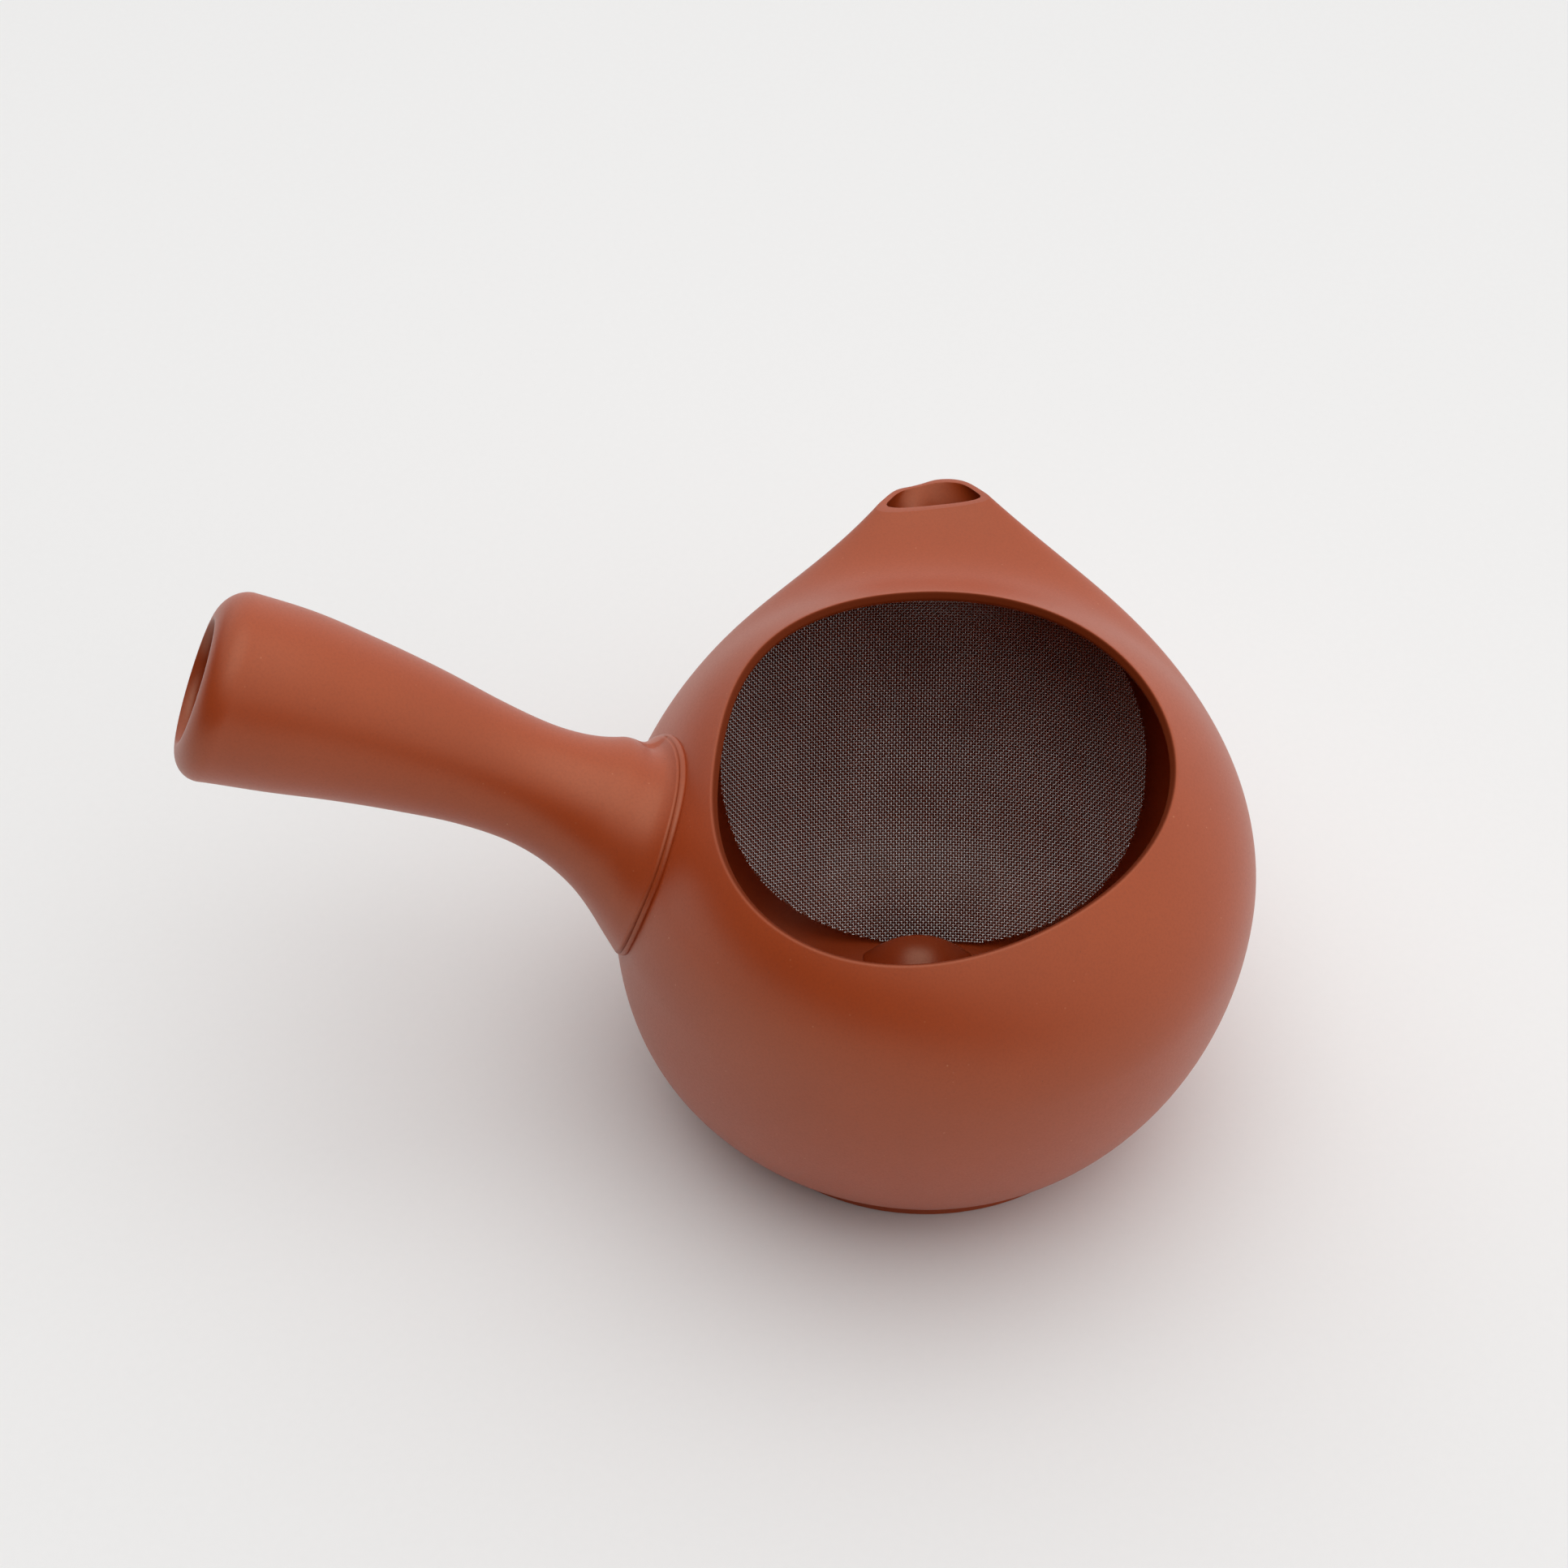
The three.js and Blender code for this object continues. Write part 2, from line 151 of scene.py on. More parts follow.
# Clay: burnished and unglazed, with a duller edge where the mouth was cut; that cut face is also painted
# darker, a painted shade
claySettings = {
    "body": (0.35, 0.045, 0.0065),
    "warm": (0.385, 0.052, 0.008),
    "dark": (0.25, 0.029, 0.004),
    # painted shade: the colour of the mouth's cut face, darker than the body
    "cut": (0.16, 0.02, 0.002),
    "speck": (0.60, 0.24, 0.12),
    "grainScale": 2600,
    "speckScale": 900,
    "cloudScale": 34,
    "rippleScale": 300,
    "speckSize": 0.085,
    "pitSize": 0.07,
    "speckRange": (0.6, 1),
    "cloudRange": (0.35, 0.65),
    "grainRange": (0.42, 0.75),
    "grainShare": 0.35,
    "speckShare": 0.6,
    # painted shade: how strongly and how dark the small pits are painted
    "pitShare": 0.5,
    "pitShade": 0.4,
    "slipShade": 0.92,
    "heights": {"grain": 0.35, "ripple": 0.5, "specks": 0.25, "pits": -0.6},
    "roughness": 0.4,
    "roughnessSpread": 0.12,
    "cutRoughness": 0.25,
    "specular": 0.8,
    "cutSpecular": 0.2,
    "sheenTint": (1, 0.8, 0.6),
    "reliefStrength": 0.32,
    "reliefDepth": 0.00006,
}


def addSocket(group, name, kind, direction):
    group.interface.new_socket(name=name, in_out=direction, socket_type="NodeSocket" + kind)


def mathNode(nodes, links, operation, first, second=None):
    node = nodes.new("ShaderNodeMath")
    node.operation = operation
    for index, value in enumerate((first, second)):
        if value is None:
            continue
        if hasattr(value, "links"):
            links.new(value, node.inputs[index])
        else:
            node.inputs[index].default_value = value
    return node.outputs[0]


def noiseNode(nodes, links, vector, scale, detail, w):
    # each w is another pattern, so that no two noises line up
    node = nodes.new("ShaderNodeTexNoise")
    node.noise_dimensions = "4D"
    node.inputs["W"].default_value = w
    node.inputs["Detail"].default_value = detail
    if hasattr(scale, "links"):
        links.new(scale, node.inputs["Scale"])
    else:
        node.inputs["Scale"].default_value = scale
    links.new(vector, node.inputs["Vector"])
    return node.outputs[0]


def rampNode(nodes, links, value, low, high):
    node = nodes.new("ShaderNodeMapRange")
    node.inputs["From Min"].default_value = low
    node.inputs["From Max"].default_value = high
    links.new(value, node.inputs["Value"])
    return node.outputs[0]


def mixColour(nodes, links, mask, first, second):
    # a mix node's colours are its inputs 6 and 7 and its output 2
    node = nodes.new("ShaderNodeMix")
    node.data_type = "RGBA"
    links.new(mask, node.inputs["Factor"])
    for index, colour in ((6, first), (7, second)):
        if hasattr(colour, "links"):
            links.new(colour, node.inputs[index])
        else:
            node.inputs[index].default_value = (*colour, 1)
    return node.outputs[2]


def makeClayGrain():
    # fine grain, sparse specks, small pits that get painted shade and soft clouds of fired clay, as masks
    # and a height
    settings = claySettings
    group = bpy.data.node_groups.new("clayGrain", "ShaderNodeTree")
    addSocket(group, "Vector", "Vector", "INPUT")
    for name in ("Grain Scale", "Speck Scale", "Cloud Scale"):
        addSocket(group, name, "Float", "INPUT")
    for name in ("Cloud", "Grain", "Pale Specks", "Shaded Pits", "Height"):
        addSocket(group, name, "Float", "OUTPUT")
    nodes, links = group.nodes, group.links
    entry = nodes.new("NodeGroupInput")
    leave = nodes.new("NodeGroupOutput")
    vector = entry.outputs["Vector"]
    cloud = noiseNode(nodes, links, vector, entry.outputs["Cloud Scale"], 3, 1.3)
    grain = noiseNode(nodes, links, vector, entry.outputs["Grain Scale"], 2, 4.1)
    masks = []
    for offset, size in ((0.0, settings["speckSize"]), (7.7, settings["pitSize"])):
        cell = nodes.new("ShaderNodeTexVoronoi")
        cell.voronoi_dimensions = "4D"
        cell.inputs["W"].default_value = offset
        links.new(entry.outputs["Speck Scale"], cell.inputs["Scale"])
        links.new(vector, cell.inputs["Vector"])
        near = rampNode(nodes, links, cell.outputs["Distance"], size * 2, size)
        split = nodes.new("ShaderNodeSeparateColor")
        links.new(cell.outputs["Color"], split.inputs[0])
        rare = rampNode(nodes, links, split.outputs[0], *settings["speckRange"])
        masks.append(mathNode(nodes, links, "MULTIPLY", near, rare))
    pale, pits = masks
    ripple = noiseNode(nodes, links, vector, settings["rippleScale"], 2, 2.2)
    height = mathNode(nodes, links, "MULTIPLY", grain, settings["heights"]["grain"])
    for value, key in ((ripple, "ripple"), (pale, "specks"), (pits, "pits")):
        raised = mathNode(nodes, links, "MULTIPLY", value, settings["heights"][key])
        height = mathNode(nodes, links, "ADD", height, raised)
    results = {"Cloud": cloud, "Grain": grain, "Pale Specks": pale, "Shaded Pits": pits, "Height": height}
    for name, value in results.items():
        links.new(value, leave.inputs[name])
    return group


def makeClay(name, grainGroup, shade):
    settings = claySettings
    material = bpy.data.materials.new(name)
    material.use_nodes = True
    nodes, links = material.node_tree.nodes, material.node_tree.links
    shader = nodes["Principled BSDF"]
    place = nodes.new("ShaderNodeTexCoord")
    grain = nodes.new("ShaderNodeGroup")
    grain.node_tree = grainGroup
    links.new(place.outputs["Object"], grain.inputs["Vector"])
    grain.inputs["Grain Scale"].default_value = settings["grainScale"]
    grain.inputs["Speck Scale"].default_value = settings["speckScale"]
    grain.inputs["Cloud Scale"].default_value = settings["cloudScale"]
    body, warm, dark = (tuple(shade * part for part in settings[key]) for key in ("body", "warm", "dark"))
    clouds = rampNode(nodes, links, grain.outputs["Cloud"], *settings["cloudRange"])
    colour = mixColour(nodes, links, clouds, body, warm)
    speckle = rampNode(nodes, links, grain.outputs["Grain"], *settings["grainRange"])
    speckle = mathNode(nodes, links, "MULTIPLY", speckle, settings["grainShare"])
    colour = mixColour(nodes, links, speckle, colour, dark)
    pale = mathNode(nodes, links, "MULTIPLY", grain.outputs["Pale Specks"], settings["speckShare"])
    colour = mixColour(nodes, links, pale, colour, settings["speck"])
    # painted shade: the small pits are painted darker, as the shade in their hollows
    pits = mathNode(nodes, links, "MULTIPLY", grain.outputs["Shaded Pits"], settings["pitShare"])
    colour = mixColour(nodes, links, pits, colour, tuple(settings["pitShade"] * part for part in dark))
    # painted shade: the cut face of the mouth is painted darker than the body; its duller, less glossy
    # finish set below is the clay's own
    cutMask = nodes.new("ShaderNodeAttribute")
    cutMask.attribute_name = "cutEdge"
    cut = cutMask.outputs["Fac"]
    colour = mixColour(nodes, links, cut, colour, settings["cut"])
    links.new(colour, shader.inputs["Base Color"])
    spread = settings["roughnessSpread"]
    rough = mathNode(nodes, links, "MULTIPLY", grain.outputs["Grain"], spread)
    rough = mathNode(nodes, links, "ADD", rough, settings["roughness"] - spread / 2)
    duller = mathNode(nodes, links, "MULTIPLY", cut, settings["cutRoughness"])
    rough = mathNode(nodes, links, "ADD", rough, duller)
    links.new(rough, shader.inputs["Roughness"])
    sheen = mathNode(nodes, links, "MULTIPLY", cut, settings["cutSpecular"] - settings["specular"])
    sheen = mathNode(nodes, links, "ADD", sheen, settings["specular"])
    links.new(sheen, shader.inputs["Specular IOR Level"])
    shader.inputs["Specular Tint"].default_value = (*settings["sheenTint"], 1)
    bump = nodes.new("ShaderNodeBump")
    bump.inputs["Strength"].default_value = settings["reliefStrength"]
    bump.inputs["Distance"].default_value = settings["reliefDepth"]
    links.new(grain.outputs["Height"], bump.inputs["Height"])
    links.new(bump.outputs[0], shader.inputs["Normal"])
    return material


# Wire: drawn steel with a slightly uneven skin
steelSettings = {
    "colour": (0.66, 0.655, 0.65),
    "dull": (0.57, 0.56, 0.555),
    "stainScale": 90,
    "stainRange": (0.42, 0.62),
    "skinScale": 5200,
    "roughness": 0.27,
    "roughnessSpread": 0.2,
}


def makeSteel():
    settings = steelSettings
    material = bpy.data.materials.new("drawnSteelWire")
    material.use_nodes = True
    nodes, links = material.node_tree.nodes, material.node_tree.links
    shader = nodes["Principled BSDF"]
    place = nodes.new("ShaderNodeTexCoord")
    stain = noiseNode(nodes, links, place.outputs["Object"], settings["stainScale"], 3, 0.7)
    skin = noiseNode(nodes, links, place.outputs["Object"], settings["skinScale"], 1, 2.7)
    mask = rampNode(nodes, links, stain, *settings["stainRange"])
    colour = mixColour(nodes, links, mask, settings["colour"], settings["dull"])
    links.new(colour, shader.inputs["Base Color"])
    shader.inputs["Metallic"].default_value = 1
    spread = settings["roughnessSpread"]
    rough = mathNode(nodes, links, "MULTIPLY", skin, spread)
    rough = mathNode(nodes, links, "ADD", rough, settings["roughness"] - spread / 2)
    links.new(rough, shader.inputs["Roughness"])
    return material


clayGrain = makeClayGrain()
burnishedClay = makeClay("burnishedRedClay", clayGrain, 1)
slipClay = makeClay("lutingSlip", clayGrain, claySettings["slipShade"])
steelWire = makeSteel()
print("finishes made")


# Bowl: sizes in millimetres, as the pot was thrown; the spout is drawn out of the wall
bowl = {
    "belly": {"radius": 53, "height": 44.8, "crown": 39.5, "crownPower": 2.07,
              "base": 59.2, "basePower": 1.96},
    "foot": {"radius": 36, "height": 1.5, "edge": 0.5},
    "wall": {"floor": 4.5, "floorRadius": 24, "floorRings": (0.66, 0.33), "belly": 3, "rim": 1.6,
             "floorPower": 2.1},
    "settle": {"depth": 1.6, "low": 12, "high": 44, "top": 60, "footFade": 10},
    "mouth": {"height": 73.5, "slope": 0.1, "lipRise": 0.22, "lipFlatness": 6, "mean": 37.08,
              "cos": (0.58, -0.87, 1.3, -0.39), "sin": (-5.17, 1.11, 0.41, -0.43)},
    "columns": 288,
    "rows": {"foot": 6, "lower": 36, "upper": 100, "lip": 9, "innerUpper": 70, "innerLower": 24},
    "crowding": {"turn": 0.72, "row": 0.72, "spread": 2},
}
spout = {
    "rise": 22.8 * degree,
    "turn": 1.4 * degree,
    "fullness": 3.5,
    "fade": 1.1,
    "fadeDepth": 42.9,
    "outside": {"reach": 28.5, "left": 15.8, "right": 22.4, "above": 3.5, "below": 12.6},
    "inside": {"reach": 30.5, "left": 15.2, "right": 21.8, "above": 3, "below": 10.4},
    "crease": {"side": -2.8, "halfWidth": 2.6, "up": -4.5, "above": 2.6, "below": 5.5, "depth": 5},
    "upperLip": (2.45, 64.4),
    "lowerLip": (-3.1, 72.8),
    "lean": 0.108,
    "tipFrom": 46,
    "weld": 0.06,
    "lipRound": 0.3,
    "lipSteps": 3,
}


def ballRadius(height):
    belly = bowl["belly"]
    above = height > belly["height"]
    reach = np.where(above, belly["crown"], belly["base"])
    power = np.where(above, belly["crownPower"], belly["basePower"])
    part = np.minimum(np.abs(height - belly["height"]) / reach, 0.999999)
    return belly["radius"] * (1 - part ** power) ** (1 / power)


def mouthRadius(angle):
    mouth = bowl["mouth"]
    radius = mouth["mean"] + 0 * angle
    for k, (cosPart, sinPart) in enumerate(zip(mouth["cos"], mouth["sin"]), 1):
        radius = radius + cosPart * np.cos(k * angle) + sinPart * np.sin(k * angle)
    return radius


def mouthHeight(angle):
    mouth = bowl["mouth"]
    return mouth["height"] + mouth["slope"] * mouthRadius(angle) * np.sin(angle)


def wallRadius(angle, height):
    settle = bowl["settle"]
    bellyHeight = bowl["belly"]["height"]
    rimHeight = mouthHeight(angle)
    shaping = np.where(height > bellyHeight, smoothStep(height, bellyHeight, rimHeight), 0)
    towardsHandle = np.maximum(-np.cos(angle), 0) ** 2
    inOrOut = 1 - 2 * smoothStep(height, settle["low"], settle["high"])
    fading = (1 - smoothStep(height, settle["top"], rimHeight)) * smoothStep(height, 0, settle["footFade"])
    return (ballRadius(height) + shaping * (mouthRadius(angle) - ballRadius(rimHeight))
            + settle["depth"] * towardsHandle * inOrOut * fading)


def around(radius, angle, height):
    return np.stack(np.broadcast_arrays(radius * np.cos(angle), radius * np.sin(angle), height), -1)


def outerWall(part, angle):
    belly, foot = bowl["belly"], bowl["foot"]
    steepest = np.arcsin((mouthHeight(angle) - belly["height"]) / belly["crown"])
    lowest = math.asin((belly["height"] - foot["height"]) / belly["base"])
    height = np.where(part > 1, belly["height"] + belly["crown"] * np.sin(steepest * (part - 1)),
                      belly["height"] - belly["base"] * np.sin(lowest * (1 - part)))
    return around(wallRadius(angle, height), angle, height)


def underWall(part, angle, depth):
    # a point under the outer wall's skin, straight in by a depth
    lower, here = outerWall(part - smallStep, angle), outerWall(part, angle)
    radius = np.hypot(here[..., 0], here[..., 1])
    widening = radius - np.hypot(lower[..., 0], lower[..., 1])
    climb = here[..., 2] - lower[..., 2]
    length = np.hypot(widening, climb)
    return around(radius - depth * climb / length, angle, here[..., 2] + depth * widening / length)


def innerWall(part, angle):
    wall, belly = bowl["wall"], bowl["belly"]
    thickness = wall["rim"] + (wall["belly"] - wall["rim"]) * np.sqrt(np.clip(part, 0, 1))
    upper = underWall(2 - np.clip(part, 0, 1), angle, thickness)
    turn = np.clip(part - 1, 0, 1) * math.pi / 2
    spread = wallRadius(angle, belly["height"]) - wall["belly"] - wall["floorRadius"]
    power = wall["floorPower"]
    radius = wall["floorRadius"] + spread * (1 - np.sin(turn) ** power) ** (1 / power)
    lower = around(radius, angle, belly["height"] - (belly["height"] - wall["floor"]) * np.sin(turn))
    return np.where((part < 1)[..., None], upper, lower)


def rimLip(part, angle):
    # cut square to the wall, with soft edges and a flat top
    mouth = bowl["mouth"]
    points = underWall(2 + 0 * part, angle, bowl["wall"]["rim"] * part)
    crown = mouth["lipRise"] * (1 - np.abs(2 * part - 1) ** mouth["lipFlatness"]) ** 0.5
    radius = np.hypot(points[..., 0], points[..., 1])
    return around(radius - crown, angle, points[..., 2] + crown)


def spoutAxes():
    rise, turn = spout["rise"], spout["turn"]
    along = np.array((math.sin(turn) * math.cos(rise), math.cos(turn) * math.cos(rise), math.sin(rise)))
    up = np.array((-math.sin(turn) * math.sin(rise), -math.cos(turn) * math.sin(rise), math.cos(rise)))
    aside = np.array((math.cos(turn), -math.sin(turn), 0))
    return along, up, aside


def drawSpout(points, form):
    axisAlong, axisUp, axisAside = spoutAxes()
    crease = spout["crease"]
    local = points - np.array((0, 0, bowl["belly"]["height"]))
    along, up, aside = local @ axisAlong, local @ axisUp, local @ axisAside
    across = np.abs(aside) / np.where(aside > 0, form["right"], form["left"])
    over = np.abs(up) / np.where(up > 0, form["above"], form["below"])
    away = (across ** spout["fullness"] + over ** spout["fullness"]) ** (1 / spout["fullness"])
    fading = np.where(up > crease["up"], crease["above"], crease["below"])
    dent = (np.exp(-((aside - crease["side"]) / crease["halfWidth"]) ** 2)
            * np.exp(-((up - crease["up"]) / fading) ** 2))
    pull = form["reach"] * np.exp(-away ** spout["fade"]) - crease["depth"] * dent
    drawn = pull * smoothStep(along, 0, spout["fadeDepth"])
    return points + drawn[..., None] * axisAlong


def crowdedParts(count, angle):
    # rows from belly to mouth, closer together beside the spout
    part = (np.arange(count + 1) / count)[:, None]
    near = ((1 + np.sin(angle)) / 2) ** bowl["crowding"]["spread"]
    wave = np.sin(2 * math.pi * (part - 0.5))
    return part - bowl["crowding"]["row"] * near * wave / (2 * math.pi)


def makeBowl():
    rows, foot = bowl["rows"], bowl["foot"]
    turn = 2 * math.pi * np.arange(bowl["columns"]) / bowl["columns"]
    angle = (turn + math.pi / 2 - bowl["crowding"]["turn"] * np.sin(turn))[None, :]
    rings = []
    edge = foot["edge"]
    for step in range(rows["foot"]):
        bend = step / (rows["foot"] - 1) * math.pi / 2
        rings.append(around(foot["radius"] - edge * (1 - math.sin(bend)), angle,
                            edge * (1 - math.cos(bend)) + 0 * angle))
    lower = (np.arange(rows["lower"]) / rows["lower"])[:, None] + 0 * angle
    rings.append(drawSpout(outerWall(lower, angle), spout["outside"]))
    upper = 1 + crowdedParts(rows["upper"], angle)
    rings.append(drawSpout(outerWall(upper, angle), spout["outside"]))
    lip = (np.arange(1, rows["lip"]) / rows["lip"])[:, None] + 0 * angle
    rings.append(drawSpout(rimLip(lip, angle), spout["outside"]))
    inner = 1 - crowdedParts(rows["innerUpper"], angle)[::-1]
    rings.append(drawSpout(innerWall(inner, angle), spout["inside"]))
    below = (np.arange(1, rows["innerLower"] + 1) / rows["innerLower"])[:, None] + 0 * angle
    rings.append(drawSpout(innerWall(1 + below, angle), spout["inside"]))
    floorHeight = bowl["wall"]["floor"]
    for share in bowl["wall"]["floorRings"]:
        rings.append(around(share * bowl["wall"]["floorRadius"], angle, floorHeight + 0 * angle))
    grid = np.concatenate(rings, 0)
    piece = closedSkin("thrownBowl", grid, (0, 0, 0), (0, 0, floorHeight))

    # the rows of the cut lip are marked for the clay's duller edge and the painted shade on it; the two
    # poles come last
    firstLip = rows["foot"] + rows["lower"] + rows["upper"] + 1
    cutEdge = np.zeros(grid.shape[:2])
    cutEdge[firstLip:firstLip + rows["lip"] - 1] = 1
    mask = piece.data.attributes.new("cutEdge", "FLOAT", "POINT")
    mask.data.foreach_set("value", np.concatenate((cutEdge.ravel(), (0, 0))).astype(np.float32))
    cutSpout(piece)
    shadeSmooth(piece)
    return piece


def cutSpout(piece):
    # trims the spout's closed tip to its mouth and rounds both lips
    axisAlong, axisUp, axisAside = spoutAxes()
    upperUp, upperAlong = spout["upperLip"]
    lowerUp, lowerAlong = spout["lowerLip"]
    slope = (upperAlong - lowerAlong) / (upperUp - lowerUp)
    middle = np.array((0, 0, bowl["belly"]["height"])) + axisAlong * (upperAlong - slope * upperUp)
    facing = axisAlong - slope * axisUp - spout["lean"] * axisAside
    made = bmesh.new()
    made.from_mesh(piece.data)
    bmesh.ops.recalc_face_normals(made, faces=made.faces)
    near = spout["tipFrom"] * mm
    tip = [face for face in made.faces if all(corner.co.y > near for corner in face.verts)]
    geometry = tip + list({edge for face in tip for edge in face.edges})
    geometry += list({corner for face in tip for corner in face.verts})
    bmesh.ops.bisect_plane(made, geom=geometry, plane_co=Vector(middle * mm),
                           plane_no=Vector(facing).normalized(), clear_outer=True)
    rims = [edge for edge in made.edges if edge.is_boundary]
    corners = list({corner for edge in rims for corner in edge.verts})
    bmesh.ops.remove_doubles(made, verts=corners, dist=spout["weld"] * mm)
    rims = [edge for edge in made.edges if edge.is_boundary]
    bmesh.ops.bridge_loops(made, edges=rims)
    lips = [edge for edge in rims if edge.is_valid]
    bmesh.ops.bevel(made, geom=lips, offset=spout["lipRound"] * mm, segments=spout["lipSteps"], profile=0.5,
                    affect="EDGES", clamp_overlap=True)
    bmesh.ops.recalc_face_normals(made, faces=made.faces)
    made.to_mesh(piece.data)
    made.free()


thrownBowl = makeBowl()
dress(thrownBowl, burnishedClay, "pot", "red_clay", "teapot_body")
print("bowl thrown:", len(thrownBowl.data.polygons), "faces")


# Handle and the slip that lutes it on
handle = {
    "axis": ((-114.3, 1.3, 85.2), (-76.1, 6.4, 70), (-54.7, -2.1, 58.7), (-41, -1.7, 54.5)),
    "axisSamples": 600,
    "outline": ((4.8, 15.3), (15, 14.6), (25, 13.3), (36, 11.8), (46, 10.4), (54, 9.9), (60, 10.4),
                (65, 11.7), (69, 13.6), (73, 16.6), (77, 21), (79.8, 27)),
    "lipRadius": 4.8,
    "holeRadius": 10,
    "holeFrom": 0.05,
    "wall": 2.8,
    "oval": 0.105,
    "ovalTurn": 11.6 * degree,
    "ovalFrom": 55,
    "ovalTo": 75,
    "endTurn": (0, -0.123, -0.02),
    "endReach": 26,
    "seatFrom": 66,
    "seatReach": 5,
    "sink": 0.9,
    "columns": 160,
    "rows": {"outer": 150, "lip": 16, "inner": 40},
}
joint = {"rise": 11.2 * degree, "turn": 2.9 * degree, "radius": 18.7, "lastRow": 77}
bead = {
    "height": 1,
    "roundness": 0.6,
    "proud": 0.55,
    "inside": 1.2,
    "bed": 0.15,
    "under": 0.4,
    "points": 12,
    "columns": 360,
    "wander": 0.09,
    "swell": 0.6,
    "waves": range(2, 14),
    "waveFade": 0.3,
    "waveTurn": 6.28,
    "seed": 5,
}


def splineTable(points, samples=400):
    # a smooth curve through points, as dense samples
    points = np.asarray(points, float)
    ends = np.concatenate((2 * points[:1] - points[1:2], points, 2 * points[-1:] - points[-2:-1]))
    out = []
    for k in range(len(points) - 1):
        a, b, c, d = ends[k:k + 4]
        t = np.linspace(0, 1, samples // (len(points) - 1), endpoint=False)[:, None]
        out.append(0.5 * (2 * b + (c - a) * t + (2 * a - 5 * b + 4 * c - d) * t * t
                          + (3 * b - 3 * c + d - a) * t * t * t))
    out.append(points[-1:])
    return np.concatenate(out)


handleTable = splineTable(handle["outline"])


def handleRadius(along):
    return np.interp(along, handleTable[:, 0], handleTable[:, 1])


def axisTable():
    a, b, c, d = (np.array(point, float) for point in handle["axis"])
    t = np.linspace(0, 1, handle["axisSamples"])[:, None]
    places = (1 - t) ** 3 * a + 3 * (1 - t) ** 2 * t * b + 3 * (1 - t) * t * t * c + t ** 3 * d
    heading = 3 * (1 - t) ** 2 * (b - a) + 6 * (1 - t) * t * (c - b) + 3 * t * t * (d - c)
    heading /= np.linalg.norm(heading, axis=1)[:, None]
    travelled = np.concatenate(([0], np.cumsum(np.linalg.norm(np.diff(places, axis=0), axis=1))))
    return travelled, places, heading


axisTravel, axisPlaces, axisHeading = axisTable()


def along3(table, along):
    return np.stack([np.interp(along, axisTravel, table[:, k]) for k in range(3)], -1)


def crossAxes(ahead):
    side = np.array((0, 1, 0)) - ahead * ahead[..., 1:2]
    side = side / np.linalg.norm(side, axis=-1, keepdims=True)
    return side, np.cross(ahead, side)


def handlePoint(along, radius, angle):
    along, radius, angle = np.broadcast_arrays(along, radius, angle)
    nearEnd = 1 - smoothStep(along, 0, handle["endReach"])
    ahead = along3(axisHeading, along) + nearEnd[..., None] * np.array(handle["endTurn"])
    ahead = ahead / np.linalg.norm(ahead, axis=-1, keepdims=True)
    side, up = crossAxes(ahead)
    flare = np.clip((along - handle["ovalFrom"]) / (handle["ovalTo"] - handle["ovalFrom"]), 0, 1) ** 2
    oval = radius * (1 + handle["oval"] * flare * np.cos(2 * (angle - handle["ovalTurn"])))
    return (along3(axisPlaces, along) + side * (oval * np.cos(angle))[..., None]
            + up * (oval * np.sin(angle))[..., None])


def awayFromWall(points):
    turn = np.arctan2(points[..., 1], points[..., 0])
    radius = wallRadius(turn, points[..., 2])
    slope = (wallRadius(turn, points[..., 2] + smallStep) - radius) / smallStep
    return (np.hypot(points[..., 0], points[..., 1]) - radius) / np.hypot(1, slope)


def jointPoint(radius, angle, clearance):
    radius, angle, clearance = np.broadcast_arrays(radius, angle, clearance)
    spread = np.arcsin(radius / bowl["belly"]["radius"])
    rise, turn = joint["rise"], joint["turn"]
    ahead = np.array((math.cos(rise) * math.cos(turn), math.cos(rise) * math.sin(turn), -math.sin(rise)))
    side, up = crossAxes(ahead)
    out = side * np.cos(angle)[..., None] + up * np.sin(angle)[..., None]
    out = out * np.sin(spread)[..., None] - ahead * np.cos(spread)[..., None]
    middle = np.array((0, 0, bowl["belly"]["height"]))
    reach = turningPoint(0 * angle, 0 * angle + 2 * bowl["belly"]["radius"],
                         lambda far: awayFromWall(middle + out * far[..., None]) < clearance)
    return middle + out * reach[..., None]


def alongAtBowl(angle, inset, seat):
    def outsideBowl(along):
        return awayFromWall(handlePoint(along, handleRadius(along) - inset, angle)) > seat

    return turningPoint(0 * angle + handle["ovalFrom"], 0 * angle + joint["lastRow"], outsideBowl)


def handleWall(along, root, inset, radius, angle, seat):
    foot = handlePoint(root, handleRadius(root) - inset, angle)
    shift = jointPoint(joint["radius"] - inset, angle, seat) - foot
    weight = smoothStep(along, np.minimum(handle["seatFrom"], root - handle["seatReach"]), root)
    return handlePoint(along, radius, angle) + shift * weight[..., None]


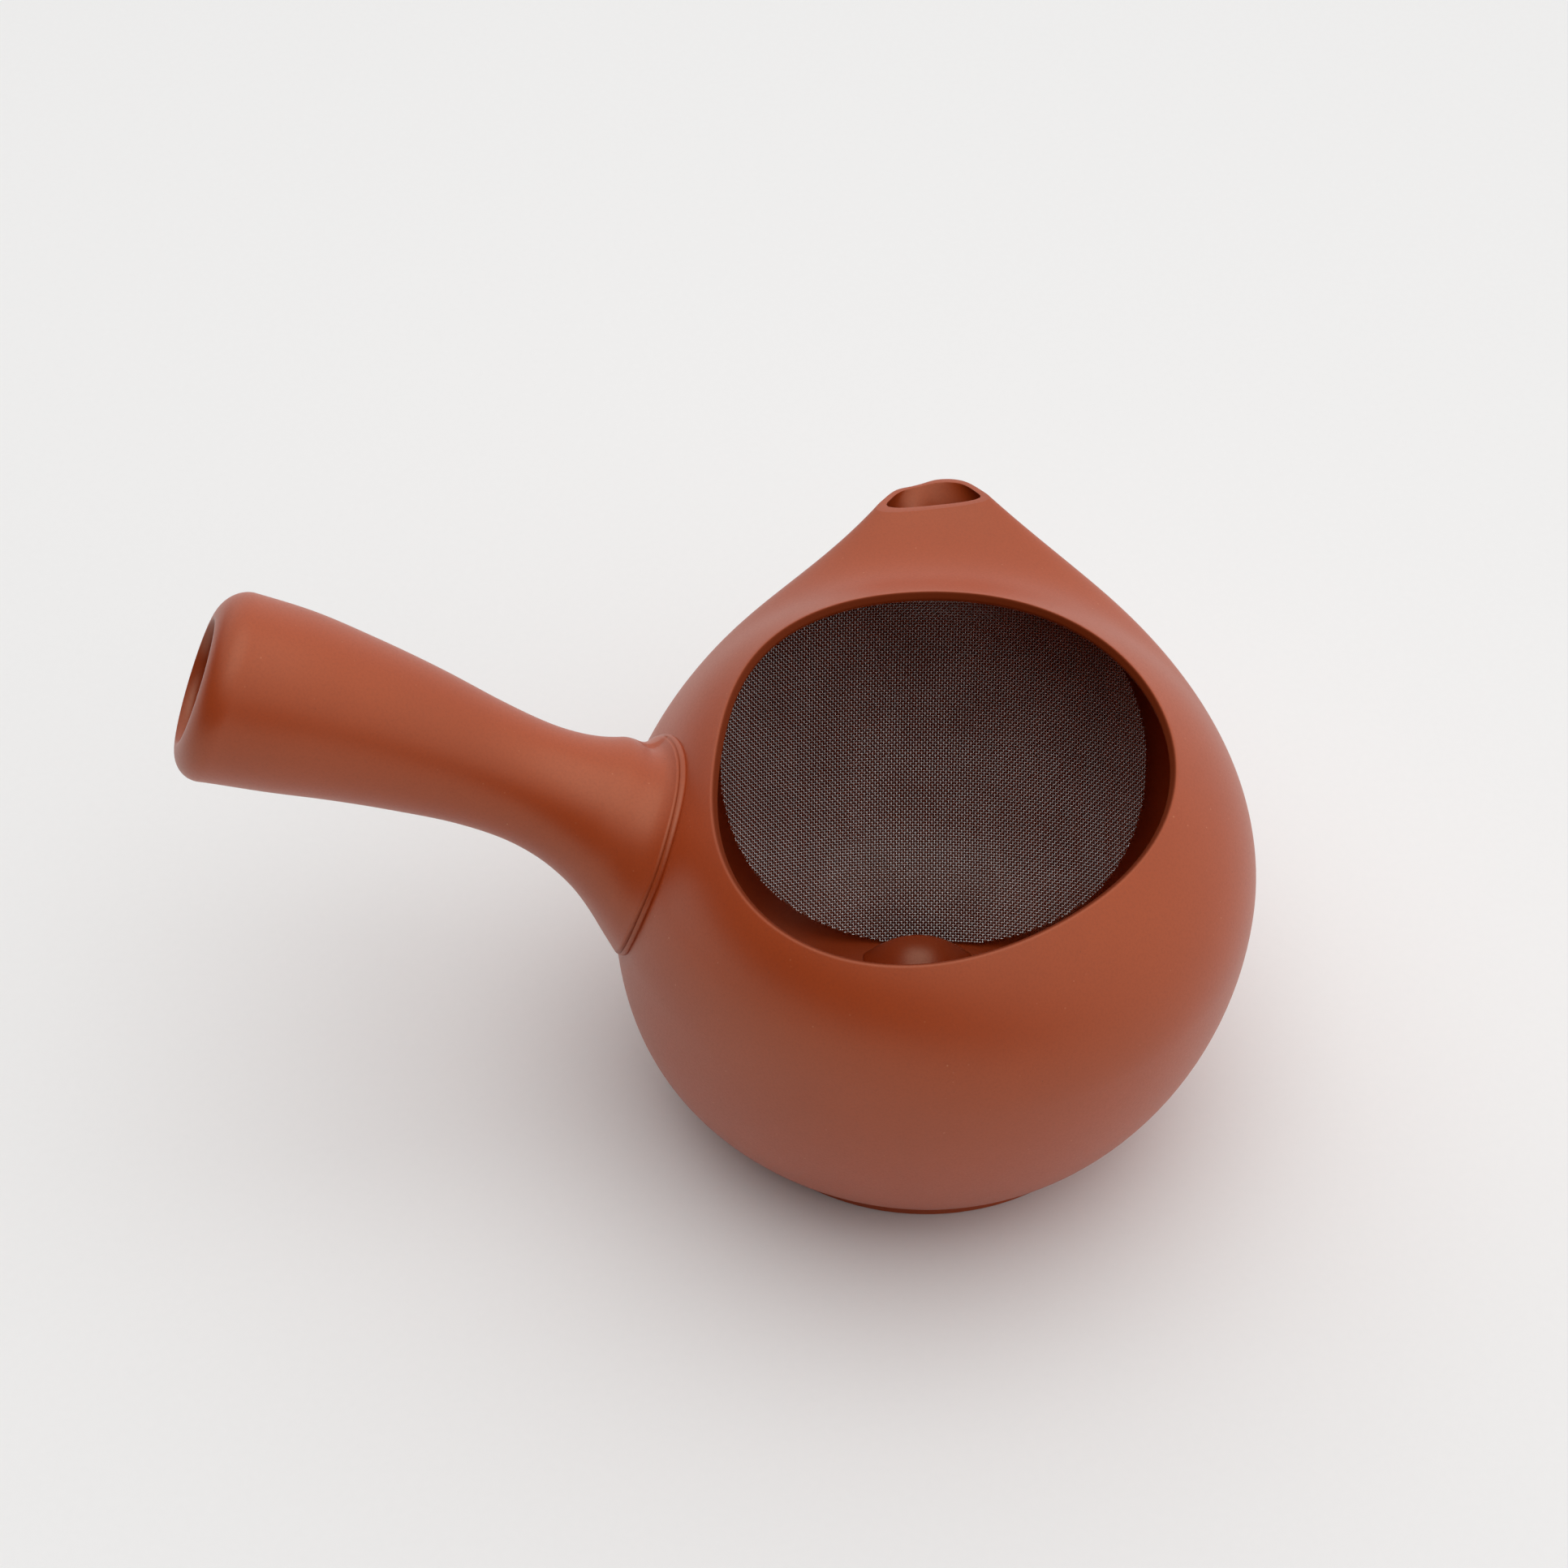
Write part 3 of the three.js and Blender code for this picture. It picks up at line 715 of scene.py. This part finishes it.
def makeHandle():
    rows, seat = handle["rows"], handle["sink"]
    angle = (2 * math.pi * np.arange(handle["columns"]) / handle["columns"])[None, :]
    root = alongAtBowl(angle, 0, seat)
    part = (np.arange(rows["outer"]) / rows["outer"])[:, None]
    along = root + (handle["lipRadius"] - root) * part
    rings = [handleWall(along, root, 0, handleRadius(along), angle, seat)]
    bend = (np.arange(rows["lip"]) / rows["lip"])[:, None] * math.pi / 2 + 0 * angle
    outside = handle["outline"][0][1]
    rings.append(handlePoint(handle["lipRadius"] * (1 - np.sin(bend)),
                             handle["holeRadius"] + (outside - handle["holeRadius"]) * np.cos(bend), angle))
    inset = handle["wall"]
    innerRoot = alongAtBowl(angle, inset, seat)
    part = (np.arange(rows["inner"]) / (rows["inner"] - 1))[:, None]
    along = handle["holeFrom"] + (innerRoot - handle["holeFrom"]) * part
    bore = handleRadius(np.maximum(along, handle["lipRadius"])) - inset
    radius = np.where(along < handle["ovalFrom"], np.minimum(bore, handle["holeRadius"]), bore)
    rings.append(handleWall(along, innerRoot, inset, radius, angle, seat))
    grid = np.concatenate(rings, 0)
    piece = meshFrom("thrownHandle", grid.reshape(-1, 3), ringFaces(*grid.shape[:2], closedRows=True))
    facesOut(piece)
    shadeSmooth(piece)
    return piece


def makeBead():
    # a roll of slip pressed round the root, a little uneven as a finger leaves it
    count = bead["points"]
    angle = (2 * math.pi * np.arange(bead["columns"]) / bead["columns"])[None, :]
    random = np.random.default_rng(bead["seed"])
    wander = 0
    for k in bead["waves"]:
        size = random.normal()
        wave = np.cos(k * angle + random.uniform(0, bead["waveTurn"]))
        wander = wander + size * wave / (1 + bead["waveFade"] * k)
    wander = bead["wander"] * wander / 2
    rings = []
    for step in range(count):
        bend = math.pi * step / (count - 1)
        outer = 0.5 + 0.5 * math.cos(bend)
        beyond = bead["proud"] * outer - bead["inside"] * (1 - outer)
        clearance = bead["height"] * math.sin(bend) ** bead["roundness"]
        rings.append(jointPoint(joint["radius"] + beyond + wander * math.cos(bend / 2), angle,
                                clearance * (1 + bead["swell"] * wander) - bead["bed"]))
    rings.append(jointPoint(joint["radius"] - bead["inside"] / 2, angle, 0 * angle - bead["under"]))
    grid = np.concatenate(rings, 0)
    piece = meshFrom("lutingBead", grid.reshape(-1, 3), ringFaces(*grid.shape[:2], closedRows=True))
    facesOut(piece)
    shadeSmooth(piece)
    return piece


thrownHandle = makeHandle()
dress(thrownHandle, burnishedClay, "pot", "red_clay", "side_handle")
lutingBead = makeBead()
dress(lutingBead, slipClay, "pot", "red_clay", "handle_luting_bead")
print("handle luted on")


# Stop on the bowl's floor: a low lump of clay, steep at the back where the sheet's foot stands
stop = {
    "middle": 17.4,
    "height": 4.9,
    "edge": 0.3,
    "sink": 0.4,
    "back": 2.9,
    "side": 9.5,
    "front": 9,
    "spreadPower": 2.4,
    "heightPower": 1.2,
    "rings": 26,
    "columns": 96,
}


def makeStop():
    angle = (2 * math.pi * np.arange(stop["columns"]) / stop["columns"])[None, :]
    spread = (np.arange(1, stop["rings"] + 1) / stop["rings"])[:, None]
    depth = np.where(np.sin(angle) > 0, stop["back"], stop["front"])
    edgeHeight = bowl["wall"]["floor"] + stop["edge"]
    sunkHeight = bowl["wall"]["floor"] - stop["sink"]
    dome = (1 - spread ** stop["spreadPower"]) ** stop["heightPower"]
    height = edgeHeight + stop["height"] * dome + 0 * angle
    grid = np.stack(np.broadcast_arrays(stop["side"] * spread * np.cos(angle),
                                        stop["middle"] + depth * spread * np.sin(angle), height), -1)
    skirt = grid[-1:].copy()
    skirt[..., 2] = sunkHeight
    grid = np.concatenate((grid, skirt))
    piece = closedSkin("floorStop", grid, (0, stop["middle"], edgeHeight + stop["height"]),
                       (0, stop["middle"], sunkHeight))
    facesOut(piece)
    shadeSmooth(piece)
    return piece


floorStop = makeStop()
dress(floorStop, burnishedClay, "pot", "red_clay", "strainer_stop")
print("stop set on the floor")


# Woven wire: the sheet is bent round an upright axis and leans on the wall behind the stop
cloth = {
    "pitch": 0.475,
    "wire": 0.235,
    "bendRadius": 56,
    "centre": 2.54,
    "halfWidth": 39.57,
    "tilt": 28 * degree,
    "middle": 0.537,
    "below": 0.552,
    "above": 0.507,
    "profile": ((20.9, 5.1), (27.6, 14), (34, 21.5), (42, 35), (48.2, 50), (52, 61.5)),
    "profileSamples": 250,
    "wireSides": 4,
    "straight": 1e-6,
    "bands": (("Low", -0.1, 0.5), ("High", 0.50001, 1.1)),
}
clothInputs = ("Pitch", "Wire", "Bend Radius", "Centre", "Half Width", "Tilt", "Middle", "Below", "Above",
               "Sheet Length", "From", "To")


def treeMath(tree, operation, first, second=None):
    return mathNode(tree.nodes, tree.links, operation, first, second)


def makeWeaveTree(isWarp, material):
    # one set of parallel wires, waved over and under the other set and bent to the pot's wall
    tree = bpy.data.node_groups.new("warpWires" if isWarp else "weftWires", "GeometryNodeTree")
    addSocket(tree, "Geometry", "Geometry", "INPUT")
    for name in clothInputs:
        addSocket(tree, name, "Float", "INPUT")
    addSocket(tree, "Geometry", "Geometry", "OUTPUT")
    nodes, links = tree.nodes, tree.links
    entry = nodes.new("NodeGroupInput")
    leave = nodes.new("NodeGroupOutput")
    given = entry.outputs

    # counts of wires across and of steps along the sheet
    width = treeMath(tree, "MULTIPLY", given["Half Width"], 2)
    wiresAcross = treeMath(tree, "FLOOR", treeMath(tree, "DIVIDE", width, given["Pitch"]))
    wiresUp = treeMath(tree, "FLOOR", treeMath(tree, "DIVIDE", given["Sheet Length"], given["Pitch"]))
    crossings = wiresUp if isWarp else wiresAcross
    steps = treeMath(tree, "ADD", treeMath(tree, "MULTIPLY", crossings, 2), 1)
    grid = nodes.new("GeometryNodeMeshGrid")
    grid.inputs["Size X"].default_value = 1
    grid.inputs["Size Y"].default_value = 1
    links.new(treeMath(tree, "ADD", wiresAcross, 1) if isWarp else steps, grid.inputs["Vertices X"])
    links.new(steps if isWarp else treeMath(tree, "ADD", wiresUp, 1), grid.inputs["Vertices Y"])

    # keep only the edges that run along the wires
    ends = nodes.new("GeometryNodeInputMeshEdgeVertices")
    apart = nodes.new("ShaderNodeVectorMath")
    apart.operation = "SUBTRACT"
    links.new(ends.outputs["Position 1"], apart.inputs[0])
    links.new(ends.outputs["Position 2"], apart.inputs[1])
    apartParts = nodes.new("ShaderNodeSeparateXYZ")
    links.new(apart.outputs[0], apartParts.inputs[0])
    sideways = treeMath(tree, "ABSOLUTE", apartParts.outputs[0 if isWarp else 1])
    wrongWay = treeMath(tree, "GREATER_THAN", sideways, cloth["straight"])
    dropEdges = nodes.new("GeometryNodeDeleteGeometry")
    dropEdges.domain = "EDGE"
    dropEdges.mode = "EDGE_FACE"
    links.new(grid.outputs["Mesh"], dropEdges.inputs["Geometry"])
    links.new(wrongWay, dropEdges.inputs["Selection"])

    # sheet coordinates: across in metres, part from foot to top
    position = nodes.new("GeometryNodeInputPosition")
    parts = nodes.new("ShaderNodeSeparateXYZ")
    links.new(position.outputs[0], parts.inputs[0])
    across = treeMath(tree, "MULTIPLY", treeMath(tree, "MULTIPLY", parts.outputs[0], 2), given["Half Width"])
    part = treeMath(tree, "ADD", parts.outputs[1], 0.5)

    # the cut outline is an oval; this piece is one band of the wires
    isAbove = treeMath(tree, "GREATER_THAN", part, given["Middle"])
    extra = treeMath(tree, "MULTIPLY", isAbove, treeMath(tree, "SUBTRACT", given["Above"], given["Below"]))
    halfHeight = treeMath(tree, "ADD", given["Below"], extra)
    fromMiddle = treeMath(tree, "DIVIDE", treeMath(tree, "SUBTRACT", part, given["Middle"]), halfHeight)
    fromCentre = treeMath(tree, "DIVIDE", across, given["Half Width"])
    upSquare = treeMath(tree, "POWER", fromMiddle, 2)
    reach = treeMath(tree, "ADD", upSquare, treeMath(tree, "POWER", fromCentre, 2))
    outside = treeMath(tree, "GREATER_THAN", reach, 1)
    share = treeMath(tree, "ADD", parts.outputs[0 if isWarp else 1], 0.5)
    below = treeMath(tree, "LESS_THAN", share, given["From"])
    above = treeMath(tree, "GREATER_THAN", share, given["To"])
    unwanted = treeMath(tree, "MAXIMUM", outside, treeMath(tree, "MAXIMUM", below, above))
    trim = nodes.new("GeometryNodeDeleteGeometry")
    trim.domain = "POINT"
    links.new(dropEdges.outputs["Geometry"], trim.inputs["Geometry"])
    links.new(unwanted, trim.inputs["Selection"])

    # over and under: the wave turns at every crossing
    fromLeft = treeMath(tree, "ADD", parts.outputs[0], 0.5)
    columns = treeMath(tree, "MULTIPLY", wiresAcross, 1 if isWarp else 2)
    column = treeMath(tree, "ROUND", treeMath(tree, "MULTIPLY", fromLeft, columns))
    rows = treeMath(tree, "MULTIPLY", wiresUp, 2 if isWarp else 1)
    row = treeMath(tree, "ROUND", treeMath(tree, "MULTIPLY", part, rows))
    if isWarp:
        phase = treeMath(tree, "ADD", column, treeMath(tree, "DIVIDE", row, 2))
    else:
        phase = treeMath(tree, "ADD", treeMath(tree, "DIVIDE", column, 2), row)
    wave = treeMath(tree, "COSINE", treeMath(tree, "MULTIPLY", phase, math.pi))
    lift = treeMath(tree, "MULTIPLY", wave, 0.5 if isWarp else -0.5)
    lift = treeMath(tree, "MULTIPLY", lift, given["Wire"])

    # bend the flat sheet
    profile = nodes.new("GeometryNodeMeshToCurve")
    links.new(given["Geometry"], profile.inputs[0])
    sample = nodes.new("GeometryNodeSampleCurve")
    sample.mode = "FACTOR"
    sample.use_all_curves = False
    links.new(profile.outputs[0], sample.inputs["Curves"])
    links.new(part, sample.inputs["Factor"])
    middle = nodes.new("ShaderNodeSeparateXYZ")
    links.new(sample.outputs["Position"], middle.inputs[0])
    angle = treeMath(tree, "DIVIDE", treeMath(tree, "ADD", across, given["Centre"]), given["Bend Radius"])
    radius = treeMath(tree, "SUBTRACT", given["Bend Radius"], lift)
    inward = treeMath(tree, "MULTIPLY", radius, treeMath(tree, "COSINE", angle))
    sag = treeMath(tree, "SUBTRACT", given["Bend Radius"], inward)
    sagForward = treeMath(tree, "MULTIPLY", sag, treeMath(tree, "COSINE", given["Tilt"]))
    sagUp = treeMath(tree, "MULTIPLY", sag, treeMath(tree, "SINE", given["Tilt"]))
    bent = nodes.new("ShaderNodeCombineXYZ")
    links.new(treeMath(tree, "MULTIPLY", radius, treeMath(tree, "SINE", angle)), bent.inputs[0])
    links.new(treeMath(tree, "SUBTRACT", middle.outputs[1], sagForward), bent.inputs[1])
    links.new(treeMath(tree, "ADD", middle.outputs[2], sagUp), bent.inputs[2])
    place = nodes.new("GeometryNodeSetPosition")
    links.new(trim.outputs["Geometry"], place.inputs["Geometry"])
    links.new(bent.outputs[0], place.inputs["Position"])

    # give the wires their thickness
    curves = nodes.new("GeometryNodeMeshToCurve")
    links.new(place.outputs["Geometry"], curves.inputs[0])
    section = nodes.new("GeometryNodeCurvePrimitiveCircle")
    section.inputs["Resolution"].default_value = cloth["wireSides"]
    links.new(treeMath(tree, "DIVIDE", given["Wire"], 2), section.inputs["Radius"])
    tube = nodes.new("GeometryNodeCurveToMesh")
    tube.inputs["Fill Caps"].default_value = True
    links.new(curves.outputs[0], tube.inputs["Curve"])
    links.new(section.outputs["Curve"], tube.inputs["Profile Curve"])
    smooth = nodes.new("GeometryNodeSetShadeSmooth")
    links.new(tube.outputs[0], smooth.inputs["Geometry"])
    real = nodes.new("GeometryNodeRealizeInstances")
    links.new(smooth.outputs[0], real.inputs[0])
    paint = nodes.new("GeometryNodeSetMaterial")
    paint.inputs["Material"].default_value = material
    links.new(real.outputs[0], paint.inputs["Geometry"])
    links.new(paint.outputs[0], leave.inputs[0])
    return tree


def profileLine():
    points = splineTable([(0, y, z) for y, z in cloth["profile"]], cloth["profileSamples"])
    mesh = bpy.data.meshes.new("sheetProfile")
    mesh.from_pydata((points * mm).tolist(), [(k, k + 1) for k in range(len(points) - 1)], [])
    length = float(np.sum(np.linalg.norm(np.diff(points, axis=0), axis=1)))
    return mesh, length


def makeWires(name, tree, profile, length, low, high):
    carrier = bpy.data.objects.new(name + "Carrier", profile)
    scene.collection.objects.link(carrier)
    modifier = carrier.modifiers.new("weave", "NODES")
    modifier.node_group = tree
    values = (cloth["pitch"] * mm, cloth["wire"] * mm, cloth["bendRadius"] * mm, cloth["centre"] * mm,
              cloth["halfWidth"] * mm, cloth["tilt"], cloth["middle"], cloth["below"], cloth["above"],
              length * mm, low, high)
    given = dict(zip(clothInputs, values))
    for item in tree.interface.items_tree:
        if item.in_out == "INPUT" and item.name in given:
            modifier[item.identifier] = given[item.name]
    view = bpy.context.evaluated_depsgraph_get()
    mesh = bpy.data.meshes.new_from_object(carrier.evaluated_get(view))
    bpy.data.objects.remove(carrier)
    piece = bpy.data.objects.new(name, mesh)
    scene.collection.objects.link(piece)
    return piece


def makeCloth():
    # each set of wires is made in two bands; a wire right in the middle is in the low one
    profile, length = profileLine()
    for isWarp in (True, False):
        tree = makeWeaveTree(isWarp, steelWire)
        for side, low, high in cloth["bands"]:
            name = ("warp" if isWarp else "weft") + side
            piece = makeWires(name, tree, profile.copy(), length, low, high)
            dress(piece, steelWire, "strainer", "woven_steel", "strainer_sheet")
            print("wires", name, len(piece.data.polygons), "faces")


makeCloth()


# Floor and light: a bright tent over the back and the right, a dim room in front and at the left
stageSettings = {
    "floorColour": (0.90, 0.895, 0.888),
    "floorSize": 3.0,
    "fibreScale": 700,
    "fibreRange": (0.2, 0.8),
    "fibreShade": 0.985,
    "floorRoughness": 0.9,
    "floorSpecular": 0.1,
    "background": (0.9, 0.9, 0.9),
    "tentTowards": (0.50, 0.45, 0.74),
    "tentEdge": 0.12,
    "tentBlur": 0.2,
    "tentLevel": 0.95,
    "roomLevel": 0.02,
    "lampPlace": (0.1, 0, 1.2),
    "lampAim": (0, 0, 0.04),
    "lampSize": (1.2, 1.2),
    "lampPower": 3.8,
}


def makeFloor():
    settings = stageSettings
    half = settings["floorSize"]
    mesh = bpy.data.meshes.new("paperFloor")
    corners = [(-half, -half, 0), (half, -half, 0), (half, half, 0), (-half, half, 0)]
    mesh.from_pydata(corners, [], [(0, 1, 2, 3)])
    floor = bpy.data.objects.new("paperFloor", mesh)
    scene.collection.objects.link(floor)
    material = bpy.data.materials.new("paperFloor")
    material.use_nodes = True
    nodes, links = material.node_tree.nodes, material.node_tree.links
    shader = nodes["Principled BSDF"]
    place = nodes.new("ShaderNodeTexCoord")
    fibre = noiseNode(nodes, links, place.outputs["Object"], settings["fibreScale"], 4, 0.4)
    tone = rampNode(nodes, links, fibre, *settings["fibreRange"])
    shaded = tuple(settings["fibreShade"] * part for part in settings["floorColour"])
    colour = mixColour(nodes, links, tone, shaded, settings["floorColour"])
    links.new(colour, shader.inputs["Base Color"])
    shader.inputs["Roughness"].default_value = settings["floorRoughness"]
    shader.inputs["Specular IOR Level"].default_value = settings["floorSpecular"]
    mesh.materials.append(material)


def makeLamp():
    settings = stageSettings
    data = bpy.data.lights.new("softLamp", "AREA")
    data.shape = "RECTANGLE"
    data.size, data.size_y = settings["lampSize"]
    data.energy = settings["lampPower"]
    lamp = bpy.data.objects.new("softLamp", data)
    place = Vector(settings["lampPlace"])
    lamp.location = place
    lamp.rotation_euler = (Vector(settings["lampAim"]) - place).to_track_quat("-Z", "Y").to_euler()
    scene.collection.objects.link(lamp)


def makeSky():
    # the camera sees a plain pale backdrop; the object sees the tent and the room
    settings = stageSettings
    world = bpy.data.worlds.new("paleRoom")
    scene.world = world
    world.use_nodes = True
    nodes, links = world.node_tree.nodes, world.node_tree.links
    nodes["Background"].inputs["Color"].default_value = (1, 1, 1, 1)
    place = nodes.new("ShaderNodeTexCoord")
    towards = nodes.new("ShaderNodeVectorMath")
    towards.operation = "DOT_PRODUCT"
    towards.inputs[1].default_value = settings["tentTowards"]
    links.new(place.outputs["Generated"], towards.inputs[0])
    tent = nodes.new("ShaderNodeMapRange")
    tent.interpolation_type = "SMOOTHSTEP"
    tent.inputs["From Min"].default_value = settings["tentEdge"] - settings["tentBlur"]
    tent.inputs["From Max"].default_value = settings["tentEdge"] + settings["tentBlur"]
    tent.inputs["To Min"].default_value = settings["roomLevel"]
    tent.inputs["To Max"].default_value = settings["tentLevel"]
    links.new(towards.outputs["Value"], tent.inputs["Value"])
    links.new(tent.outputs[0], nodes["Background"].inputs["Strength"])
    backdrop = nodes.new("ShaderNodeBackground")
    backdrop.inputs["Strength"].default_value = 1
    backdrop.inputs["Color"].default_value = (*settings["background"], 1)
    path = nodes.new("ShaderNodeLightPath")
    mix = nodes.new("ShaderNodeMixShader")
    links.new(path.outputs["Is Camera Ray"], mix.inputs[0])
    links.new(nodes["Background"].outputs[0], mix.inputs[1])
    links.new(backdrop.outputs[0], mix.inputs[2])
    links.new(mix.outputs[0], nodes["World Output"].inputs[0])


makeFloor()
makeLamp()
makeSky()
print("stage lit")
